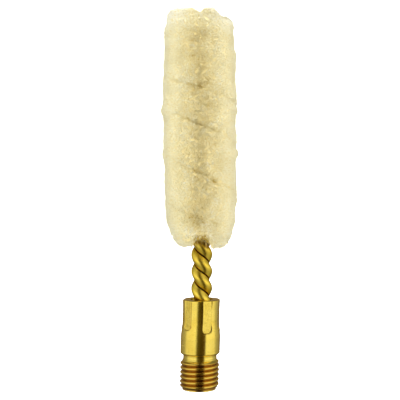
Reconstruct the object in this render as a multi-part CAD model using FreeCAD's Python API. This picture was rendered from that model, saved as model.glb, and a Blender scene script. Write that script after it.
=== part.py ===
import FreeCAD
import Part
import math
import os

# Mop-style cleaning tip for a threaded cleaning rod: a ferrule, a twisted
# two-legged stem wire and a stack of wool bundles.
# Frame: origin at the centre of the ferrule's threaded end face, +Z along the
# tip's axis towards the mop end, +X to the right and -Y to the front.
# Every length is in millimetres; names ending in _Z are heights, _R radii.

Vector = FreeCAD.Vector
ORIGIN = Vector(0, 0, 0)
Z_AXIS = Vector(0, 0, 1)


# ------------------------------------------------------------ shared helpers
def export(shape, name):
    shape.exportStep("parts/" + name + ".step")


def largest_solid(shape):
    return max(shape.Solids, key=lambda solid: solid.Volume)


def polar(radius, angle, z):
    """Point at an angle in radians from +X about +Z."""
    return Vector(radius * math.cos(angle), radius * math.sin(angle), z)


def closed_polygon(points):
    return Part.makePolygon(points + points[:1])


def revolve(profile):
    """Solid of revolution about Z from a closed profile of (radius, height)."""
    wire = closed_polygon([Vector(radius, 0, z) for radius, z in profile])
    return Part.Face(wire).revolve(ORIGIN, Z_AXIS, 360)


def smooth_step(z, z0, z1):
    """Eased rise from 0 at z0 to 1 at z1."""
    part = min(1.0, max(0.0, (z - z0) / (z1 - z0)))
    return part * part * (3 - 2 * part)


def monotone(table, z):
    """Monotone cubic through (height, value) rows, straight beyond both ends."""
    heights, values = zip(*table)
    spans = [b - a for a, b in zip(heights, heights[1:])]
    slopes = [(b - a) / span for a, b, span in zip(values, values[1:], spans)]
    if z <= heights[0]:
        return values[0] + (z - heights[0]) * slopes[0]
    if z >= heights[-1]:
        return values[-1] + (z - heights[-1]) * slopes[-1]

    tangents = [slopes[0]]
    for i in range(1, len(slopes)):
        before, after = slopes[i - 1], slopes[i]
        if before * after <= 0:
            tangents.append(0.0)
        else:
            # harmonic mean weighted by the spans on either side
            weight_before = 2 * spans[i] + spans[i - 1]
            weight_after = spans[i] + 2 * spans[i - 1]
            tangents.append((weight_before + weight_after)
                            / (weight_before / before + weight_after / after))
    tangents.append(slopes[-1])

    i = max(k for k in range(len(spans)) if heights[k] <= z)
    t = (z - heights[i]) / spans[i]
    return ((2 * t**3 - 3 * t**2 + 1) * values[i]
            + (t**3 - 2 * t**2 + t) * spans[i] * tangents[i]
            + (-2 * t**3 + 3 * t**2) * values[i + 1]
            + (t**3 - t**2) * spans[i] * tangents[i + 1])


# ------------------------------------------------------------------- ferrule
# thread: 5/16 in x 27 threads per inch, right hand
THREAD_MAJOR_R = 3.969
THREAD_PITCH = 25.4 / 27.0
THREAD_DEPTH = 0.509          # crest to root flat
THREAD_CREST_FLAT = 0.118
THREAD_FLANK_DEG = 30
THREAD_TOP_Z = 5.62           # end of the full crest
THREAD_START_Z = -1.165       # groove centre at the start angle, below the end face
THREAD_START_DEG = 7.0        # from +X about +Z
THREAD_RUNOUT = 0.45          # groove cut on past the foot of the neck
TURN_LENGTH = 1.04            # pitches per cutter, so neighbours overlap
GROOVE_OVERCUT = 0.05         # cutter beyond the crest
BLANK_PATCHES = 12            # arcs round the thread blank
END_FACE_R = 3.12             # radius left after the lead-in chamfer
END_CHAMFER_Z = 0.88
CHAMFER_OVERCUT = 0.2         # chamfer cutter below the end face
CHAMFER_OUTSET = 0.6          # chamfer cutter beyond the major radius
CHAMFER_OUTSET_RISE = 0.65
# relief neck and shoulder
NECK_R = 3.40
NECK_Z0 = 6.15
NECK_Z1 = 7.14
SHOULDER_R = 4.00
SHOULDER_CHAMFER = 0.34
SHOULDER_TOP_Z = 10.7
# easing into the barrel: (loss of radius, height above the shoulder top)
SHOULDER_EASING = ((0.03, 0.5), (0.11, 1.2), (0.19, 1.9))
# crimp barrel
WAIST_R = 3.72
WAIST_Z = 13.9
WAIST_LENGTH = 2.4
WAIST_LEAD = 0.5              # last easing point: this far below the waist
WAIST_LEAD_FLARE = 0.025      # and this much wider
LIP_R = 3.77
LIP_Z = 17.92
FERRULE_TOP_Z = 18.25
RIM_BREAK = 0.16
BORE_R = 2.25
BORE_BOTTOM_Z = 9.0
DRILL_POINT_Z = 7.75
# crimp jaw marks
JAW_END_Z = (11.80, 11.95, 12.12, 12.25, 12.30, 12.34)   # lower end of each mark
JAW_FIRST_DEG = -72.0         # centre of the first mark, from +X about +Z
JAW_FLAT_X = 3.60             # axis to flat
JAW_WIDTH = 1.93
JAW_CORNER_R = 0.72           # rounding of the lower corners
JAW_CUT_DEPTH = 1.5           # cutter outwards from the flat
JAW_OVERCUT = 1.0             # cutter above the ferrule


def thread_blank():
    """Cylinder with a chamfered lower end; its wall is equal circular patches."""
    arcs = []
    for i in range(BLANK_PATCHES):
        start, middle, end = [
            polar(THREAD_MAJOR_R, 2 * math.pi * (i + k / 2.0) / BLANK_PATCHES, 0)
            for k in range(3)]
        arcs.append(Part.Arc(start, middle, end).toShape())
    blank = Part.Face(Part.Wire(arcs)).extrude(Vector(0, 0, THREAD_TOP_Z))
    outer_r = THREAD_MAJOR_R + CHAMFER_OUTSET
    lead_in = revolve([
        (END_FACE_R, -CHAMFER_OVERCUT),
        (END_FACE_R, 0.0),
        (THREAD_MAJOR_R, END_CHAMFER_Z),
        (outer_r, END_CHAMFER_Z + CHAMFER_OUTSET_RISE),
        (outer_r, -CHAMFER_OVERCUT),
    ])
    return blank.cut(lead_in)


def ferrule_body():
    """Everything above the thread, bored from the top."""
    easing = [(SHOULDER_R - loss, SHOULDER_TOP_Z + rise) for loss, rise in SHOULDER_EASING]
    return revolve([
        (0.0, DRILL_POINT_Z),
        (0.0, THREAD_TOP_Z),
        (THREAD_MAJOR_R, THREAD_TOP_Z),
        (NECK_R, NECK_Z0),
        (NECK_R, NECK_Z1),
        (SHOULDER_R - SHOULDER_CHAMFER, NECK_Z1),
        (SHOULDER_R, NECK_Z1 + SHOULDER_CHAMFER),
        (SHOULDER_R, SHOULDER_TOP_Z),
        *easing,
        (WAIST_R + WAIST_LEAD_FLARE, WAIST_Z - WAIST_LEAD),
        (WAIST_R, WAIST_Z),
        (WAIST_R, WAIST_Z + WAIST_LENGTH),
        (LIP_R, LIP_Z),
        (LIP_R, FERRULE_TOP_Z - RIM_BREAK),
        (LIP_R - RIM_BREAK, FERRULE_TOP_Z),
        (BORE_R + RIM_BREAK, FERRULE_TOP_Z),
        (BORE_R, FERRULE_TOP_Z - RIM_BREAK),
        (BORE_R, BORE_BOTTOM_Z),
    ])


def jaw_mark(angle_deg, end_z):
    """Cutter for one crimp mark: a flat with rounded lower corners."""
    half = JAW_WIDTH / 2.0
    flat_half = half - JAW_CORNER_R
    top_z = FERRULE_TOP_Z + JAW_OVERCUT
    corner_z = end_z + JAW_CORNER_R
    diagonal = JAW_CORNER_R * math.sqrt(0.5)

    def point(y, z):
        return Vector(JAW_FLAT_X, y, z)

    def line(start, end):
        return Part.LineSegment(point(*start), point(*end)).toShape()

    def corner(start, middle, end):
        return Part.Arc(point(*start), point(*middle), point(*end)).toShape()

    edges = [
        line((-half, top_z), (-half, corner_z)),
        corner((-half, corner_z), (-flat_half - diagonal, corner_z - diagonal),
               (-flat_half, end_z)),
        line((-flat_half, end_z), (flat_half, end_z)),
        corner((flat_half, end_z), (flat_half + diagonal, corner_z - diagonal),
               (half, corner_z)),
        line((half, corner_z), (half, top_z)),
        line((half, top_z), (-half, top_z)),
    ]
    mark = Part.Face(Part.Wire(edges)).extrude(Vector(JAW_CUT_DEPTH, 0, 0))
    mark.rotate(ORIGIN, Z_AXIS, angle_deg)
    return mark


def cut_thread(solid):
    """Right-hand helical V groove with a flat root, one turn at a time."""
    slope = math.tan(math.radians(THREAD_FLANK_DEG))
    half_major = (THREAD_PITCH - THREAD_CREST_FLAT) / 2.0
    half_root = half_major - THREAD_DEPTH * slope
    half_outer = half_major + GROOVE_OVERCUT * slope
    root_r = THREAD_MAJOR_R - THREAD_DEPTH
    outer_r = THREAD_MAJOR_R + GROOVE_OVERCUT
    helix = Part.makeHelix(THREAD_PITCH, TURN_LENGTH * THREAD_PITCH, THREAD_MAJOR_R)
    profile = closed_polygon([
        Vector(root_r, 0, -half_root),
        Vector(root_r, 0, half_root),
        Vector(outer_r, 0, half_outer),
        Vector(outer_r, 0, -half_outer),
    ])
    turn = Part.Wire(helix).makePipeShell([profile], True, True)
    turn.rotate(ORIGIN, Z_AXIS, THREAD_START_DEG)
    turns = math.ceil((NECK_Z0 + THREAD_RUNOUT - THREAD_START_Z) / THREAD_PITCH)
    for i in range(turns):
        groove = turn.copy()
        groove.translate(Vector(0, 0, THREAD_START_Z + i * THREAD_PITCH))
        solid = solid.cut(groove)
    return solid


def make_ferrule():
    body = ferrule_body()
    for i, end_z in enumerate(JAW_END_Z):
        body = body.cut(jaw_mark(JAW_FIRST_DEG + 360.0 / len(JAW_END_Z) * i, end_z))
    return largest_solid(cut_thread(thread_blank().fuse(body)))


# ---------------------------------------------------------------- stem wire
WIRE_R = 1.06
WIRE_END_Z = 9.90
SECTION_STEP = 0.65           # between the round sections, along the wire
WIRE_FACES = 15               # most lengths the wire is skinned in
# leg axis to stem axis
STEM_LEG_OFFSET = 1.09        # in the bare stem
PILE_LEG_OFFSET = 1.42        # where the yarn lies between the legs
LOOP_LEG_OFFSET = 1.80        # where the legs turn into the closing bend
LEG_SPREAD_Z0 = 28.4
LEG_SPREAD_Z1 = 31.0
LOOP_OPEN_Z = 69.9            # the legs start to open towards the bend
LOOP_Z = 71.5                 # start of the closing bend
BEND_RISE = 1.12 * LOOP_LEG_OFFSET
BEND_STEPS = 12
# spacing of the path's points: fine up to a little above the spread and from
# a little below the opening, coarse between
PATH_FINE_STEP = 0.43
PATH_COARSE_STEP = 0.85
PATH_COARSE_Z0 = LEG_SPREAD_Z1 + 3
PATH_COARSE_Z1 = LOOP_OPEN_Z - 2
PATH_LAST_GAP = 0.3           # least gap below the point at LOOP_Z
RATE_STEP = 0.01              # height step for measuring the twist rate
# (height, half turns): at whole counts the legs lie one behind the other, at
# halves side by side; the twist is left handed and eases in the yarn
TWIST_TABLE = (
    (6.73, -7.5), (10.16, -6.5), (13.59, -5.5), (17.02, -4.5), (20.45, -3.5),
    (23.88, -2.5), (27.30, -1.5), (35.00, 0.0), (43.70, 1.0), (53.30, 2.0),
    (60.40, 3.0), (66.20, 4.0), (71.10, 5.0), (75.60, 6.0),
)


def leg_angle(z):
    """Angle of the first leg about +Z, from +X, in radians."""
    return -math.pi / 2 - math.pi * monotone(TWIST_TABLE, z)


def leg_offset(z):
    spread = smooth_step(z, LEG_SPREAD_Z0, LEG_SPREAD_Z1)
    opening = smooth_step(z, LOOP_OPEN_Z, LOOP_Z)
    return (STEM_LEG_OFFSET + (PILE_LEG_OFFSET - STEM_LEG_OFFSET) * spread
            + (LOOP_LEG_OFFSET - PILE_LEG_OFFSET) * opening)


def bend_path():
    """Points over the closing bend, between the tops of the two legs."""
    angle = leg_angle(LOOP_Z)
    rate = (leg_angle(LOOP_Z + RATE_STEP) - angle) / RATE_STEP
    points = []
    for i in range(1, BEND_STEPS):
        along = math.pi * i / BEND_STEPS
        rise = math.sin(along)
        # the legs' twist dies out over the bend
        twisted = angle + rate * BEND_RISE * (rise - 0.5 * rise ** 2)
        points.append(polar(LOOP_LEG_OFFSET * math.cos(along), twisted,
                            LOOP_Z + BEND_RISE * rise))
    return points


def wire_path():
    """Up the first leg, round the closing bend and down the second leg."""
    heights = []
    z = WIRE_END_Z
    while z < LOOP_Z - PATH_LAST_GAP:
        heights.append(z)
        fine = z < PATH_COARSE_Z0 or z > PATH_COARSE_Z1
        z += PATH_FINE_STEP if fine else PATH_COARSE_STEP
    heights.append(LOOP_Z)
    up = [polar(leg_offset(z), leg_angle(z), z) for z in heights]
    down = [Vector(-point.x, -point.y, point.z) for point in reversed(up)]
    return up + bend_path() + down


def make_wire():
    """Skin through round sections carried along the path without twisting."""
    curve = Part.BSplineCurve()
    curve.interpolate(wire_path())
    length = curve.toShape().Length
    steps = int(round(length / SECTION_STEP))
    rings = []
    side = Vector(1, 0, 0)
    for i in range(steps + 1):
        place = curve.parameterAtDistance(length * i / steps, curve.FirstParameter)
        centre = curve.value(place)
        ahead = curve.tangent(place)[0]
        ahead.normalize()
        side = side - ahead * side.dot(ahead)
        side.normalize()
        across = ahead.cross(side)
        ring = Part.Circle(ORIGIN, Z_AXIS, WIRE_R).toShape()
        ring.Placement = FreeCAD.Placement(FreeCAD.Matrix(
            side.x, across.x, ahead.x, centre.x,
            side.y, across.y, ahead.y, centre.y,
            side.z, across.z, ahead.z, centre.z,
            0, 0, 0, 1))
        rings.append(Part.Wire([ring]))
    # skinned in short lengths that share their end rings, joined into one solid
    per_length = math.ceil(steps / WIRE_FACES)
    lengths = [Part.makeLoft(rings[i:i + per_length + 1], True, False)
               for i in range(0, steps, per_length)]
    return largest_solid(lengths[0].multiFuse(lengths[1:]))


# --------------------------------------------------------------- wool pile
# (height, radius of the pile)
PILE_TABLE = (
    (29.30, 4.00), (29.75, 4.55), (30.20, 5.06), (30.80, 5.40), (31.40, 5.70),
    (32.10, 5.99), (32.70, 6.22), (33.90, 6.54), (35.10, 6.74), (37.00, 6.92),
    (40.00, 7.06), (44.00, 7.12), (48.00, 7.18), (52.00, 7.20), (56.00, 7.24),
    (60.00, 7.18), (64.00, 7.06), (67.00, 6.94), (69.50, 6.80), (72.00, 6.66),
    (73.50, 6.46), (74.60, 6.06), (75.40, 5.60), (76.00, 5.08), (76.40, 4.50),
)
PILE_Z0 = PILE_TABLE[0][0]
PILE_Z1 = PILE_TABLE[-1][0]
PILE_OUTSET = 0.12            # added to the table's radius
OUTLINE_POINTS = 40
GROOVE_DEPTH = 0.42
GROOVE_FULL_R = 7.0           # pile radius from which the groove has full depth
GROOVE_WIDTH_DEG = 24.0
BUNDLES = 18
BUNDLE_GAP = 0.05
BUNDLE_SECTIONS = 4
BORE_OVERCUT = 1              # bore cutters beyond the open ends
PILE_BORE_R = 2.62            # hollow round the wire
# top bundle
TOP_Z0 = 70.2
TOP_SECTION_Z = (TOP_Z0, 71.2, 72.2, 73.0, 73.7, 74.3, 74.8, 75.2, 75.6, 75.9, 76.2, PILE_Z1)
LOOP_BORE_R = 3.05            # hollow round the closing bend
LOOP_BORE_TOP_Z = LOOP_Z + BEND_RISE + WIRE_R + 0.15     # with clearance over the wire
NOTCH_DEPTH = 0.85
NOTCH_HALF = 0.75             # half width at the top
NOTCH_OVERCUT = 0.1
NOTCH_REACH = 9               # cutter to the front and to the back of the axis
# yarn squeezed between the two legs
WEB_T = 0.44
WEB_HALF = 3.35
WEB_Z0 = 31.1                 # below this the legs still lie together
WEB_TOP_Z = LOOP_Z - 0.25
WEB_STEP = 0.55


def outline(z):
    """Closed two-lobed outline of the pile; the grooves follow the wire legs."""
    angle = leg_angle(z)
    base = monotone(PILE_TABLE, z)
    depth = GROOVE_DEPTH * min(1.0, base / GROOVE_FULL_R)
    points = []
    for i in range(OUTLINE_POINTS):
        around = 2 * math.pi * i / OUTLINE_POINTS
        from_leg = (around - angle) % math.pi
        from_leg = min(from_leg, math.pi - from_leg)
        groove = math.exp(-(math.degrees(from_leg) / GROOVE_WIDTH_DEG) ** 2)
        points.append(polar(base + PILE_OUTSET - depth * groove, around, z))
    curve = Part.BSplineCurve()
    curve.interpolate(Points=points, PeriodicFlag=True)
    return Part.Wire([curve.toShape()])


def web(z0, z1):
    """Flat yarn between the two legs, turning with them."""
    z0 = max(z0, WEB_Z0)
    sections = max(3, int(round((z1 - z0) / WEB_STEP)) + 1)
    half_t = WEB_T / 2
    corners = [(-WEB_HALF, -half_t), (WEB_HALF, -half_t), (WEB_HALF, half_t), (-WEB_HALF, half_t)]
    wires = []
    for i in range(sections):
        z = z0 + (z1 - z0) * i / (sections - 1)
        angle = leg_angle(z) + math.pi / 2
        cos, sin = math.cos(angle), math.sin(angle)
        wires.append(closed_polygon([
            Vector(x * cos - y * sin, x * sin + y * cos, z) for x, y in corners]))
    return Part.makeLoft(wires, True, True)


def bore(radius, z0, z1):
    return Part.makeCylinder(radius, z1 - z0, Vector(0, 0, z0))


def bundle(z0, z1):
    last = BUNDLE_SECTIONS - 1
    wires = [outline(z0 + (z1 - z0) * i / last) for i in range(BUNDLE_SECTIONS)]
    mass = Part.makeLoft(wires, True, False)
    mass = mass.cut(bore(PILE_BORE_R, z0 - BORE_OVERCUT, z1 + BORE_OVERCUT))
    return largest_solid(mass.fuse(web(z0, z1)))


def top_bundle():
    """Last bundle, closed over the wire's bend and notched from front to back."""
    mass = Part.makeLoft([outline(z) for z in TOP_SECTION_Z], True, True)
    mass = mass.cut(bore(LOOP_BORE_R, TOP_Z0 - BORE_OVERCUT, LOOP_BORE_TOP_Z))
    notch = Part.Face(closed_polygon([
        Vector(-NOTCH_HALF, -NOTCH_REACH, PILE_Z1 + NOTCH_OVERCUT),
        Vector(NOTCH_HALF, -NOTCH_REACH, PILE_Z1 + NOTCH_OVERCUT),
        Vector(0, -NOTCH_REACH, PILE_Z1 - NOTCH_DEPTH),
    ])).extrude(Vector(0, 2 * NOTCH_REACH, 0))
    mass = mass.cut(notch)
    return largest_solid(mass.fuse(web(TOP_Z0, WEB_TOP_Z)))


def main():
    os.makedirs("parts", exist_ok=True)
    export(make_ferrule(), "ferrule")
    export(make_wire(), "stem_wire")
    step = (TOP_Z0 - PILE_Z0) / (BUNDLES - 1)
    for i in range(BUNDLES - 1):
        z0 = PILE_Z0 + step * i
        export(bundle(z0, z0 + step - BUNDLE_GAP), "wool_bundle_%02d" % (i + 1))
    export(top_bundle(), "wool_bundle_%02d" % BUNDLES)


main()
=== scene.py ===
"""Round wool mop on a twisted wire stem, held in a threaded brass ferrule.

The object stands upright on +Z: the threaded end of the ferrule is at z = 0 and the wool
ends near z = 76 mm. Its front faces -Y, towards the camera, and +X is to the right.
Meshes are worked out in millimetres; materials, stage, lights and camera are in metres.
"""
import math
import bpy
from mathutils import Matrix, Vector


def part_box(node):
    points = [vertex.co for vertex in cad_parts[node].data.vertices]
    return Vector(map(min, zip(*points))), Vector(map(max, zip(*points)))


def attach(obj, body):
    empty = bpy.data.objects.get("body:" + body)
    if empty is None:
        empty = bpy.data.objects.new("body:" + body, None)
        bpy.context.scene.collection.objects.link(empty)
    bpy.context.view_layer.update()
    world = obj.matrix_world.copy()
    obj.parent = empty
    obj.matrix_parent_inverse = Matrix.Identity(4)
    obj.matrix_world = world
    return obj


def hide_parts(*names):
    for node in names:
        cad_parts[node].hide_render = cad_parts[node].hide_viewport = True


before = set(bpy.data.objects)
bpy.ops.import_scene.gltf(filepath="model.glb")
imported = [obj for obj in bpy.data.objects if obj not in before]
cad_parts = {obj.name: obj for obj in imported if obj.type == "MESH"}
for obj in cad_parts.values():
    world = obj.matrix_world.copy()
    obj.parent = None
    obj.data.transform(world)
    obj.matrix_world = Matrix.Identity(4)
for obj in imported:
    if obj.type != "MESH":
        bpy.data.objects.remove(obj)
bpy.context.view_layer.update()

from types import SimpleNamespace

import bpy
import numpy as np
from mathutils import Vector

MM = 0.001
FULL_TURN = 2 * math.pi

FERRULE_TOP = 18.25

# twist of the two wire legs: height, half turns
TWIST = np.array([
    (6.73, -7.5), (10.16, -6.5), (13.59, -5.5), (17.02, -4.5), (20.45, -3.5),
    (23.88, -2.5), (27.30, -1.5), (35.00, 0.0), (43.70, 1.0), (53.30, 2.0),
    (60.40, 3.0), (66.20, 4.0), (71.10, 5.0), (75.60, 6.0)])

# the ferrule sits a trace askew on its soft wire: height, shift along x
STEM_SHIFT = np.array([
    (0.0, -0.30), (FERRULE_TOP, 0.20), (22.0, 0.27), (29.0, 0.27), (34.0, 0.08), (37.0, 0.0)])

# sideways wander of the pile's middle: height, shift along x
PILE_SHIFT = np.array([
    (29.0, 0.05), (36.0, 0.05), (48.0, -0.08), (62.0, -0.12), (72.0, -0.28), (77.0, -0.40)])


# ------------------------------------------------------------------ curves and noise
def lookup(table, x):
    """Straight-line interpolation through (x, y) rows."""
    return np.interp(x, table[:, 0], table[:, 1])


def monotone_cubic(table, x):
    """Monotone cubic through (x, y) rows, with straight ends."""
    xs, ys = table[:, 0], table[:, 1]
    x = np.asarray(x, float)
    gap = np.diff(xs)
    chord = np.diff(ys) / gap
    slope = np.empty(len(xs))
    slope[0], slope[-1] = chord[0], chord[-1]
    for i in range(1, len(xs) - 1):
        if chord[i - 1] * chord[i] <= 0:
            slope[i] = 0.0
        else:
            before = 2 * gap[i] + gap[i - 1]
            after = gap[i] + 2 * gap[i - 1]
            slope[i] = (before + after) / (before / chord[i - 1] + after / chord[i])
    i = np.clip(np.searchsorted(xs, x) - 1, 0, len(xs) - 2)
    t = (x - xs[i]) / gap[i]
    y = ((2 * t**3 - 3 * t**2 + 1) * ys[i] + (t**3 - 2 * t**2 + t) * gap[i] * slope[i]
         + (-2 * t**3 + 3 * t**2) * ys[i + 1] + (t**3 - t**2) * gap[i] * slope[i + 1])
    y = np.where(x < xs[0], ys[0] + (x - xs[0]) * chord[0], y)
    return np.where(x > xs[-1], ys[-1] + (x - xs[-1]) * chord[-1], y)


def leg_angle(z):
    """Angle round the axis of the first wire leg at height z."""
    return -math.pi / 2 - math.pi * monotone_cubic(TWIST, z)


def rise(x, start, span):
    """Smooth step from 0 at start to 1 at start + span; a negative span runs downwards."""
    t = np.clip((x - start) / span, 0, 1)
    return t * t * (3 - 2 * t)


def bell(x, power=2):
    """1 at x = 0, falling off on both sides; a higher power has a flatter top."""
    return np.exp(-np.abs(x)**power)


def soft_min(a, b, blend):
    """The smaller of a and b, rounded where they cross."""
    return a - np.log1p(np.exp(np.clip((a - b) / blend, -40, 40))) * blend


def angle_from(angles, degrees):
    """Signed angle from a direction in degrees, in -pi..pi."""
    return (angles - math.radians(degrees) + math.pi) % FULL_TURN - math.pi


def value_noise(x, y, seed):
    """Smooth 2-D value noise in -1..1."""
    size = 512
    table = np.random.default_rng(seed).uniform(-1, 1, (size, size))
    column, row = np.floor(x).astype(int), np.floor(y).astype(int)
    blend_x, blend_y = rise(x - column, 0, 1), rise(y - row, 0, 1)

    def along_x(at_row):
        return (table[column % size, at_row % size] * (1 - blend_x)
                + table[(column + 1) % size, at_row % size] * blend_x)

    return along_x(row) * (1 - blend_y) + along_x(row + 1) * blend_y


# ------------------------------------------------------------------ meshes
def mesh_object(name, points, faces):
    """A smooth mesh object from points in mm and an array of triangles or quads."""
    mesh = bpy.data.meshes.new(name)
    points = np.asarray(points, np.float32) * MM
    faces = np.asarray(faces, np.int32)
    count, corners = faces.shape
    mesh.vertices.add(len(points))
    mesh.vertices.foreach_set("co", points.ravel())
    mesh.loops.add(count * corners)
    mesh.loops.foreach_set("vertex_index", faces.ravel())
    mesh.polygons.add(count)
    mesh.polygons.foreach_set(
        "loop_start", np.arange(0, count * corners, corners, dtype=np.int32))
    mesh.update(calc_edges=True)
    mesh.polygons.foreach_set("use_smooth", np.ones(count, bool))
    mesh.validate()
    ob = bpy.data.objects.new(name, mesh)
    bpy.context.scene.collection.objects.link(ob)
    return ob


def tube_faces(first, rings, size):
    """Triangles joining stacked rings, as (gap, triangle of the quad, place, corner)."""
    place = np.arange(size)
    following = (place + 1) % size
    low = first + np.arange(rings - 1)[:, None] * size
    high = low + size
    return np.stack([np.stack([low + place, low + following, high + following], -1),
                     np.stack([low + place, high + following, high + place], -1)], 1)


def cap_faces(first, rings, size):
    """Fans closing a tube, round two centre points that follow its rings."""
    place = np.arange(size)
    following = (place + 1) % size
    centre = first + rings * size
    last = centre - size
    return np.concatenate([
        np.stack([np.full(size, centre), first + following, first + place], 1),
        np.stack([np.full(size, centre + 1), last + place, last + following], 1)])


def add_float(ob, name, values):
    layer = ob.data.attributes.new(name, "FLOAT", "POINT")
    layer.data.foreach_set("value", values.astype(np.float32))


def add_vector(ob, name, values):
    layer = ob.data.attributes.new(name, "FLOAT_VECTOR", "POINT")
    layer.data.foreach_set("vector", values.astype(np.float32).ravel())


def dress(ob, material, piece):
    """Give an object its material and let it stand in for a CAD piece."""
    ob.data.materials.append(material)
    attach(ob, "root")
    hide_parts(piece)


# ------------------------------------------------------------------ shader helpers
def new_material(name):
    material = bpy.data.materials.new(name)
    material.use_nodes = True
    tree = material.node_tree
    tree.nodes.clear()
    output = tree.nodes.new("ShaderNodeOutputMaterial")
    shader = tree.nodes.new("ShaderNodeBsdfPrincipled")
    tree.links.new(shader.outputs["BSDF"], output.inputs["Surface"])
    return material, tree, shader


def feed(tree, socket, value):
    """Link a socket, or set it to a number or an RGB triple."""
    if isinstance(value, bpy.types.NodeSocket):
        tree.links.new(value, socket)
    elif isinstance(value, tuple):
        socket.default_value = value + (1.0,)
    else:
        socket.default_value = value


def object_coords(tree):
    return tree.nodes.new("ShaderNodeTexCoord").outputs["Object"]


def attribute(tree, name, output="Fac"):
    reader = tree.nodes.new("ShaderNodeAttribute")
    reader.attribute_name = name
    return reader.outputs[output]


def noise_texture(tree, coords, scale, detail, roughness=0.5):
    """Noise whose scale, in cycles per unit, is one number or one per axis."""
    texture = tree.nodes.new("ShaderNodeTexNoise")
    texture.inputs["Scale"].default_value = 1.0
    texture.inputs["Detail"].default_value = detail
    texture.inputs["Roughness"].default_value = roughness
    mapping = tree.nodes.new("ShaderNodeMapping")
    mapping.inputs["Scale"].default_value = scale if isinstance(scale, tuple) else (scale,) * 3
    tree.links.new(coords, mapping.inputs["Vector"])
    tree.links.new(mapping.outputs["Vector"], texture.inputs["Vector"])
    return texture.outputs["Fac"]


def ramp(tree, factor, stops):
    """Colour ramp from (position, colour) stops; a colour is a grey number or RGB."""
    node = tree.nodes.new("ShaderNodeValToRGB")
    elements = node.color_ramp.elements
    while len(elements) < len(stops):
        elements.new(0.5)
    for element, (position, colour) in zip(elements, stops):
        element.position = position
        element.color = (colour if isinstance(colour, tuple) else (colour,) * 3) + (1.0,)
    tree.links.new(factor, node.inputs["Fac"])
    return node.outputs["Color"]


def calc(tree, operation, *values, clamp=False):
    node = tree.nodes.new("ShaderNodeMath")
    node.operation = operation
    node.use_clamp = clamp
    for socket, value in zip(node.inputs, values):
        feed(tree, socket, value)
    return node.outputs[0]


def mix(tree, a, b, factor, blend="MIX"):
    node = tree.nodes.new("ShaderNodeMix")
    node.data_type = "RGBA"
    node.blend_type = blend
    # sockets 0, 6 and 7 are the factor and the two colours
    for index, value in ((0, factor), (6, a), (7, b)):
        feed(tree, node.inputs[index], value)
    return node.outputs[2]


def tint(tree, base, by, factor=1.0):
    return mix(tree, base, by, factor, blend="MULTIPLY")


def bump(tree, height, strength, distance, normal=None):
    node = tree.nodes.new("ShaderNodeBump")
    feed(tree, node.inputs["Strength"], strength)
    node.inputs["Distance"].default_value = distance
    tree.links.new(height, node.inputs["Height"])
    if normal:
        tree.links.new(normal, node.inputs["Normal"])
    return node.outputs["Normal"]


# ------------------------------------------------------------------ materials
def brass(name, marks_from, mark_scale, shade_warm, shade_deep, least_rough, speckle_rough):
    """What both brasses share; marks_from is an attribute, or None for object space."""
    material, tree, shader = new_material(name)
    coords = object_coords(tree)
    clouds = noise_texture(tree, coords, scale=350, detail=4.0, roughness=0.55)
    speckle = noise_texture(tree, coords, scale=2600, detail=3.0, roughness=0.6)
    mark_coords = attribute(tree, marks_from, "Vector") if marks_from else coords
    marks = noise_texture(tree, mark_coords, scale=mark_scale, detail=2.0, roughness=0.7)
    tone = ramp(tree, clouds, [
        (0.30, (0.78, 0.545, 0.070)),
        (0.50, (0.865, 0.640, 0.105)),
        (0.70, (0.885, 0.675, 0.130))])
    spots = ramp(tree, speckle, [(0.30, (0.62, 0.58, 0.45)), (0.43, 1)])
    tone = tint(tree, tone, spots, factor=0.40)
    # painted shade in the hollows: the first half of its range warms the brass
    # and the second half darkens it
    film = attribute(tree, "film")
    warm = calc(tree, "MULTIPLY", film, 2.0, clamp=True)
    deep = calc(tree, "MULTIPLY_ADD", film, 2.0, -1.0, clamp=True)
    tone = mix(tree, tone, shade_warm, factor=warm)
    tone = mix(tree, tone, shade_deep, factor=deep)
    shader.inputs["Metallic"].default_value = 1.0
    rough = calc(tree, "MULTIPLY_ADD", marks, 0.10, least_rough)
    rough = calc(tree, "MULTIPLY_ADD", speckle, speckle_rough, rough)
    normal = bump(tree, marks, strength=0.30, distance=0.000010)
    normal = bump(tree, speckle, strength=0.4, distance=0.00002, normal=normal)
    return material, tree, shader, coords, tone, rough, normal


def turned_brass():
    # the marks left by the lathe run round the part
    # shade_warm and shade_deep colour the painted shade in the thread roots, the bore and the
    # pinched line
    material, tree, shader, coords, tone, rough, normal = brass(
        "turned_brass", marks_from=None, mark_scale=(220, 220, 14000),
        shade_warm=(0.80, 0.47, 0.07), shade_deep=(0.33, 0.145, 0.015),
        least_rough=0.075, speckle_rough=0.06)
    # the crimp jaws leave a matt, hammered face
    press = attribute(tree, "press")
    dimples = noise_texture(tree, coords, scale=(2900, 2900, 1700), detail=2.0)
    normal = bump(tree, dimples, strength=calc(tree, "MULTIPLY", press, 0.7),
                  distance=0.000022, normal=normal)
    pits = ramp(tree, dimples, [(0.38, (0.66, 0.60, 0.42)), (0.52, 1)])
    pitted = calc(tree, "MULTIPLY", press, 0.28)
    tone = mix(tree, tone, tint(tree, tone, pits), factor=pitted)
    rough = calc(tree, "MULTIPLY_ADD", press, 0.10, rough)
    tree.links.new(normal, shader.inputs["Normal"])
    tree.links.new(rough, shader.inputs["Roughness"])
    tree.links.new(tone, shader.inputs["Base Color"])
    return material


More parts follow.
